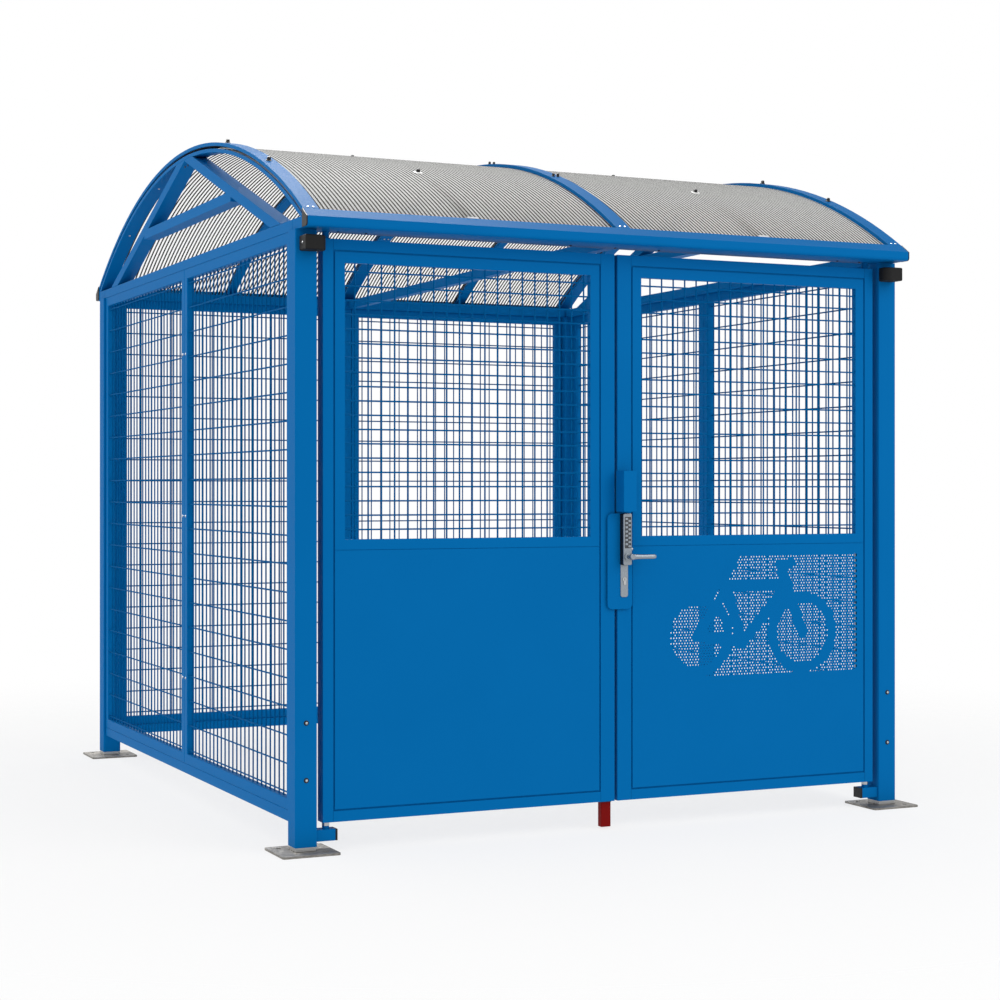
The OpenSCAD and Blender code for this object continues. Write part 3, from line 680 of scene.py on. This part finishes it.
keyPlace = np.array([lockX - 1 * mm, lockBack - lock["plateThick"] * mm,
                     lockLow[2] + cylinder["height"] * mm])
barrel = turnedShape(cylinder["profile"], keyPlace, (0, -1, 0), 24)
tail = facePlate(keyPlace - [0, 0, cylinder["tailDown"] * mm], cylinder["tailWide"], cylinder["tailHigh"],
                 cylinder["tailDeep"], 5)
buildPiece("lock_cylinder", joinShapes(barrel, tail), bright, "right_leaf")
# painted shade: a thin black plate on the cylinder's face stands for the shadowed key slot
keyway = facePlate(keyPlace - [0, 2.9 * mm, 0], 2, 8, 0.4, 0.9)
buildPiece("lock_keyway_painted_shade", keyway, blackNylon, "right_leaf")
knobPlace = (lockHigh[0] - 1 * mm, (lockLow[1] + lockHigh[1]) / 2, knob["height"] * mm)
buildPiece("lock_knob", turnedShape(knob["profile"], knobPlace, (1, 0, 0)), bright, "right_leaf")


# lever: a turned neck, and a grip given by its half heights and half depths along its length, in mm

lever = {
    "axisIn": 11, "gripStart": 9, "gripMiddle": 6, "sides": 16,
    "neck": [(8, 0), (8, 12), (13, 14), (13, 17), (8.5, 20), (8.5, 40), (10.5, 46), (10.5, 55), (9, 57)],
    "share": [0, 0.02, 0.06, 0.2, 0.45, 0.7, 0.88, 0.96, 0.985, 1.0],
    "halfHigh": [5, 8, 10.4, 9.8, 8.6, 8.2, 8.6, 7.6, 5.5, 2.5],
    "halfDeep": [3, 5, 6, 6, 5.2, 4.8, 4.8, 4.2, 3.2, 1.5],
}


def leverShape():
    # neck: rings of changing radius from the lock outwards
    # grip: oval rings (depth * cos a, height * sin a) that slim from neck to tip
    low, high = boxOf("lock_lever")
    leverX = low[0] + lever["axisIn"] * mm
    leverZ = (low[2] + high[2]) / 2
    neck = turnedShape(lever["neck"], (leverX, high[1], leverZ), (0, -1, 0), 24)
    halfHigh, halfDeep = np.array(lever["halfHigh"]) * mm, np.array(lever["halfDeep"]) * mm
    start = leverX - lever["gripStart"] * mm
    x = start + np.array(lever["share"]) * (high[0] - start)
    angle = np.arange(lever["sides"]) * 2 * np.pi / lever["sides"]
    rings = np.stack([np.broadcast_to(x[:, None], (len(x), lever["sides"])),
                      low[1] + lever["gripMiddle"] * mm + halfDeep[:, None] * np.cos(angle)[None],
                      leverZ + halfHigh[:, None] * np.sin(angle)[None]], -1)
    return joinShapes(neck, ringShape(rings))


buildPiece("lever_grip", leverShape(), aluminium, "lever", ("lock_lever",))
print("lock made")


# bolts, screws and washers: turned profiles of (radius, height) in mm

domeHead = [(5, 1.5), (5, 3.4), (4.2, 4.8), (2.6, 5.6), (1, 5.9)]
rimRing = [(9, 0), (9, 1.2), (8, 2.0), (5.4, 2.4)]
smallHead = [(5, 0), (5, 0.8), (4.6, 1.8), (3.4, 2.8), (1.4, 3.3)]
footHead = [(4, 0), (4, 0.6), (3.2, 1.7), (1.2, 2.4)]
roofCap = [(11, 0), (11, 2), (9, 3), (7.5, 6), (7, 12), (5, 14.5), (1.5, 15.3)]
pairCap = [(7, 0), (7, 1.5), (5.6, 2.5), (5.2, 10), (3.6, 12.6), (1.2, 13.4)]
roofWasher = [(19, 0), (19, 1.5), (17, 2.6), (10, 3.2)]
sleeveRing = [(12.9, 0), (13.2, 0.4), (13.2, 12.4), (12.9, 12.8)]

bolting = {  # heights above the ground, distances from the shelter's middle lines, and half spacings of pairs
    "postHeights": (254, 452), "panelHeights": (487, 1147, 1808), "panelPair": 20,
    "endCapY": (-1000, -500, 500, 1000), "pairCapY": (-900, -300, 300, 900), "roofPair": 10,
    "bayCapY": (-950, -250, 250, 950), "archDeep": 15, "eaveScrewY": 1452,
    "eaveBoltX": (-1093, -989, -186, 0, 186, 989, 1093), "eaveBoltY": 1395,
    "apexHeight": 2578, "apexPair": 21, "apexOut": 20, "sleeveFoot": 88.3,
}


def inMetres(name):
    return np.atleast_1d(bolting[name]) * mm


def vaultPlace(x, y, radius):
    # foot of a fitting on the vault and the direction that it points in
    angle = math.asin(y / radius)
    return np.array([x, y, roofCentre + radius * math.cos(angle)]), (0, math.sin(angle), math.cos(angle))


def fittings(profile, spots, sides=12):
    # the same turned profile at each spot, which is a foot and a direction
    return joinShapes(*[turnedShape(profile, place, direction, sides) for place, direction in spots])


postLow, postHigh = boxOf("post_front_right")
postX, postY = ((postLow + postHigh) / 2)[:2]
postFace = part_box("post_back_right")[1].y
postSpots = [((s * postX, t * postFace, z), (0, t, 0))
             for s in (-1, 1) for t in (-1, 1) for z in inMetres("postHeights")]
buildPiece("post_bolts", fittings(domeHead, postSpots, 20), bright, "shelter")
buildPiece("post_bolt_rims", fittings(rimRing, postSpots, 20), blackNylon, "shelter")

spigot = {"half": 38.2, "low": 8.5, "high": 23.0}
sleeve = boxShape((-spigot["half"] * mm, -spigot["half"] * mm, spigot["low"] * mm),
                  (spigot["half"] * mm, spigot["half"] * mm, spigot["high"] * mm))
feet = [(s * postX, t * -postY, 0) for s in (-1, 1) for t in (-1, 1)]
buildPiece("spigot_sleeves", repeatShape(sleeve, feet), bright, "shelter", bevel=1.5)

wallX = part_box("wall_frames_right")[1].x
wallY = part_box("wall_frames_back")[1].y
panelPair = [t * bolting["panelPair"] * mm for t in (-1, 1)]
screwSpots = [((s * wallX, y, z), (s, 0, 0))
              for s in (-1, 1) for z in inMetres("panelHeights") for y in panelPair]
screwSpots += [((x, wallY, z), (0, 1, 0)) for z in inMetres("panelHeights") for x in panelPair]
buildPiece("panel_screws", fittings(smallHead, screwSpots), bright, "shelter")

archLow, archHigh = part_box("arch_right")
bayLow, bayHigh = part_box("arch_bay_right")
archX, bayX = (archLow.x + archHigh.x) / 2, (bayLow.x + bayHigh.x) / 2
archUnder = archHigh.z - roofCentre - bolting["archDeep"] * mm
weatherFace = roofRadius - roofSheet["under"] * mm
roofPair = [t * bolting["roofPair"] * mm for t in (-1, 1)]
endPlaces = [(s * archX, y) for s in (-1, 1) for y in inMetres("endCapY")]
pairPlaces = [(x, y) for x in roofPair for y in inMetres("pairCapY")]
bayPlaces = [(s * bayX, y) for s in (-1, 1) for y in inMetres("bayCapY")]
baySpots = [vaultPlace(x, y, weatherFace) for x, y in bayPlaces]
caps = fittings(roofCap, [vaultPlace(x, y, roofRadius) for x, y in endPlaces] + baySpots)
pairCaps = fittings(pairCap, [vaultPlace(x, y, roofRadius) for x, y in pairPlaces])
buildPiece("roof_bolt_caps", joinShapes(caps, pairCaps), blackNylon, "shelter")
# painted highlight: the bay washers are white nylon so that they show the glint of the real washers
buildPiece("roof_washers_white_for_glint", fittings(roofWasher, baySpots, 20), whiteNylon, "shelter")
nuts = [vaultPlace(x, y, archUnder) for x, y in endPlaces + pairPlaces + bayPlaces]
nuts = [(place, tuple(-c for c in way)) for place, way in nuts]
eaveScrewY = bolting["eaveScrewY"] * mm
eaveScrews = [vaultPlace(s * archX + x, t * eaveScrewY, roofRadius)
              for s in (-1, 0, 1) for x in roofPair for t in (-1, 1)]
buildPiece("arch_nuts", fittings(smallHead, nuts, 6), bright, "shelter")
buildPiece("eave_screws", fittings(footHead, eaveScrews), bright, "shelter")

eaveLow, eaveHigh = boxOf("eave_beam_front")
apexX = archX + bolting["apexOut"] * mm
apexPair = [t * bolting["apexPair"] * mm for t in (-1, 1)]
eaveBolts = [((x, t * bolting["eaveBoltY"] * mm, eaveLow[2]), (0, 0, -1))
             for t in (-1, 1) for x in inMetres("eaveBoltX")]
apexBolts = [((s * apexX, y, bolting["apexHeight"] * mm), (s, 0, 0)) for s in (-1, 1) for y in apexPair]
buildPiece("black_bolts", fittings(smallHead, eaveBolts + apexBolts), blackNylon, "shelter")

clip = {"half": 21, "high": 5, "deep": 9, "back": 48, "sunk": 1}  # white clips behind the eaves' top edges
clipNear = eaveLow[1] + clip["back"] * mm
clipFar = clipNear + clip["deep"] * mm
clipLow, clipHigh = eaveHigh[2] - clip["sunk"] * mm, eaveHigh[2] + clip["high"] * mm
clips = [boxShape((s * bayX - clip["half"] * mm, min(t * clipNear, t * clipFar), clipLow),
                  (s * bayX + clip["half"] * mm, max(t * clipNear, t * clipFar), clipHigh))
         for s in (-1, 1) for t in (1, -1)]
buildPiece("eave_clips", joinShapes(*clips), whiteNylon, "shelter", bevel=1)

swing = next(joint for joint in frame["record"]["behaviour"]["joints"] if joint["name"] == "right_door_swing")
pivotX, pivotY = swing["pos_m"][:2]
sleeves = [((s * pivotX, pivotY, bolting["sleeveFoot"] * mm), (0, 0, 1)) for s in (-1, 1)]
buildPiece("pivot_sleeves", fittings(sleeveRing, sleeves, 24), bright, "shelter")

stopLow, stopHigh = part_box("door_stops")
stopMiddle = (stopLow + stopHigh) / 2
stopSpots = [((s * stopHigh.x, stopMiddle.y, stopMiddle.z), (s, 0, 0)) for s in (-1, 1)]
buildPiece("stop_screws", fittings(footHead, stopSpots), bright, "shelter")

# the seams' darker blue is painted shade along the joints between rails and stiles
weldSeam = {"half": 0.7, "proud": 0.25, "sunk": 1, "endIn": 2}  # where a leaf's rails meet its stiles
for side in ("left", "right"):
    frameLow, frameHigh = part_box("door_%s_frame" % side)
    sheetLow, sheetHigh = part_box("door_%s_infill" % side)
    endIn = weldSeam["endIn"] * mm
    railRuns = ((frameLow.z + endIn, sheetLow.z), (sheetHigh.z, frameHigh.z - endIn))
    seams = [boxShape((x - weldSeam["half"] * mm, frameLow.y - weldSeam["proud"] * mm, runLow),
                      (x + weldSeam["half"] * mm, frameLow.y + weldSeam["sunk"] * mm, runHigh))
             for x in (sheetLow.x, sheetHigh.x) for runLow, runHigh in railRuns]
    buildPiece("door_%s_seams" % side, joinShapes(*seams), seamShadedPaint, side + "_leaf")

guide = {"round": 1.5, "down": 4}  # black guide round the drop bolt, under its stile
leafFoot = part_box("door_left_frame")[0].z
boltLow, boltHigh = boxOf("drop_bolt")
guideLow = (boltLow[0] - guide["round"] * mm, boltLow[1] - guide["round"] * mm, leafFoot - guide["down"] * mm)
guideHigh = (boltHigh[0] + guide["round"] * mm, boltHigh[1] + guide["round"] * mm, leafFoot)
buildPiece("bolt_guide", boxShape(guideLow, guideHigh), blackNylon, "left_leaf", bevel=0.5)
print("fittings made")


# stage, light and camera

def stageFloor():
    # pale studio floor: lit plainly near the object and fading to the white surround further out
    material, tree, place = startMaterial("studio_floor")
    distance = addNode(tree, "VectorMath", links={0: place}, operation="LENGTH")
    fade = addNode(tree, "MapRange", {"From Min": 2.2, "From Max": 5.5}, {"Value": distance.outputs["Value"]},
                   interpolation_type="SMOOTHSTEP")
    matt = addNode(tree, "BsdfDiffuse", {"Color": (0.9, 0.9, 0.9, 1)})
    glow = addNode(tree, "Emission", {"Color": (1, 1, 1, 1), "Strength": 1.0})
    lift = addNode(tree, "MixShader", {0: 0.75}, {1: matt.outputs[0], 2: glow.outputs[0]})
    clear = addNode(tree, "BsdfTransparent")
    endMaterial(tree, addNode(tree, "MixShader", links={
        0: fade.outputs["Result"], 1: lift.outputs[0], 2: clear.outputs[0]}))
    points, tables = gridShape(lambda u, v: (u, v, u * 0), [-6.0, 6.0], [-6.0, 6.0])
    mesh = bpy.data.meshes.new("studio_floor")
    mesh.from_pydata(points.tolist(), [], tables[0].tolist())
    mesh.materials.append(material)
    floor = bpy.data.objects.new("studio_floor", mesh)
    bpy.context.scene.collection.objects.link(floor)


def studioWorld():
    # even light on the object; camera, mirror and see-through rays find plain white
    world = bpy.data.worlds.new("studio_world")
    world.use_nodes = True
    tree = world.node_tree
    tree.nodes.clear()
    rays = addNode(tree, "LightPath")
    seen = addNode(tree, "Math", links={
        0: rays.outputs["Is Camera Ray"], 1: rays.outputs["Is Glossy Ray"]}, operation="MAXIMUM")
    seen = addNode(tree, "Math", links={
        0: seen.outputs[0], 1: rays.outputs["Is Transmission Ray"]}, operation="MAXIMUM")
    dim = addNode(tree, "Background", {"Color": (1, 1, 1, 1), "Strength": 0.86})
    white = addNode(tree, "Background", {"Color": (1, 1, 1, 1), "Strength": 1.0})
    mixed = addNode(tree, "MixShader", links={0: seen.outputs[0], 1: dim.outputs[0], 2: white.outputs[0]})
    addNode(tree, "OutputWorld", links={"Surface": mixed.outputs[0]})
    bpy.context.scene.world = world


def softLight(name, place, aim, size, power, diffuse=True):
    # an area lamp that points from its place at its aim; one with diffuse off only shows as a sheen
    light = bpy.data.lights.new(name, "AREA")
    light.shape = "SQUARE"
    light.size = size
    light.energy = power
    lamp = bpy.data.objects.new(name, light)
    lamp.location = place
    lamp.visible_diffuse = diffuse
    away = np.asarray(place) - np.asarray(aim)
    lamp.rotation_euler = (math.acos(away[2] / np.linalg.norm(away)), 0, math.atan2(away[0], -away[1]))
    bpy.context.scene.collection.objects.link(lamp)


stageFloor()
studioWorld()
softLight("key_light", (3.5, -6.5, 4.5), (0, 0, 1.0), 4.0, 110)
softLight("side_light", (-7.0, -1.0, 3.5), (0, 0, 1.0), 4.0, 70)
softLight("overhead_reflector", (-1.2, 1.2, 7.0), (-1.2, 1.2, 0), 6.0, 2100, False)

view = {"lens": 71.05, "sensor": 36, "shiftY": -0.0135, "place": (-3.4817, -7.8561, 1.2626), "tilt": 90.04,
        "turn": -24.98}
camera = bpy.data.cameras.new("camera")
camera.lens = view["lens"]
camera.sensor_width = view["sensor"]
camera.shift_y = view["shiftY"]
cameraObject = bpy.data.objects.new("camera", camera)
cameraObject.location = view["place"]
cameraObject.rotation_euler = (math.radians(view["tilt"]), 0, math.radians(view["turn"]))
bpy.context.scene.collection.objects.link(cameraObject)
bpy.context.scene.camera = cameraObject
bpy.context.scene.view_settings.view_transform = "Standard"
print("studio ready")
